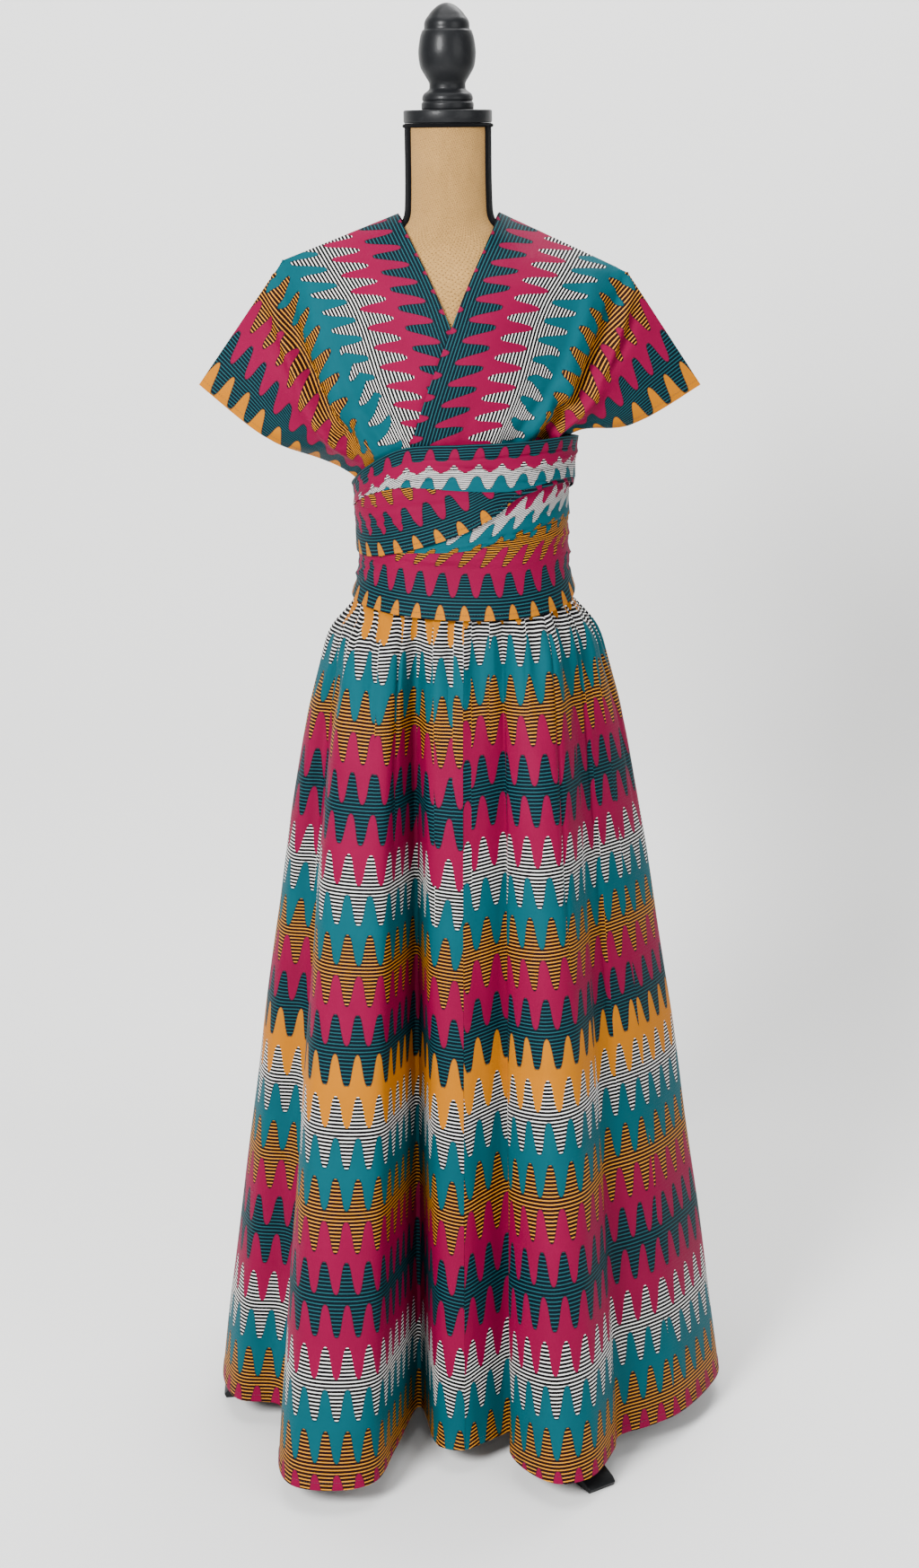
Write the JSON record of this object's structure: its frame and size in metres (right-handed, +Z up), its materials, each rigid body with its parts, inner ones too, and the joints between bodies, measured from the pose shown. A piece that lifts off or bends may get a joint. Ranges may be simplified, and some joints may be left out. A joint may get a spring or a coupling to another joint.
{
  "type": "wrap dress on a limbless dress form with a stand",
  "caption": "Floor-length dress of printed cotton with a gathered skirt, crossed wing straps and a wound waist, on a linen dress form with a turned neck cap and a three-legged stand.",
  "frame": {"origin": "on the floor, under the middle of the skirt's hem", "axes": "+Z up, front of the dress towards -Y, wearer's left towards +X"},
  "size_m": [0.627, 0.5992, 1.67],
  "materials": {
    "printed_cotton": "smooth waxed plain-weave cotton with a banded print in teal, crimson, orange, black and white",
    "plain_cotton": "plain black cotton band",
    "linen_cover": "coarse open-weave linen in front, black jersey behind, with black piping between",
    "black_wood": "satin black paint on turned and sawn wood",
    "black_metal": "satin black paint"
  },
  "bodies": {
    "root": {"skirt_panel_left": "printed_cotton", "skirt_panel_right": "printed_cotton", "waistband": "plain_cotton", "strap_left": "printed_cotton", "strap_right": "printed_cotton", "wrap_lower": "printed_cotton", "wrap_upper": "printed_cotton", "form_torso": "linen_cover", "form_neck_disc": "black_wood", "form_finial": "black_wood", "stand_pole": "black_metal", "stand_hub": "black_wood", "stand_leg_1": "black_wood", "stand_leg_2": "black_wood", "stand_leg_3": "black_wood"}
  },
  "joints": []
}
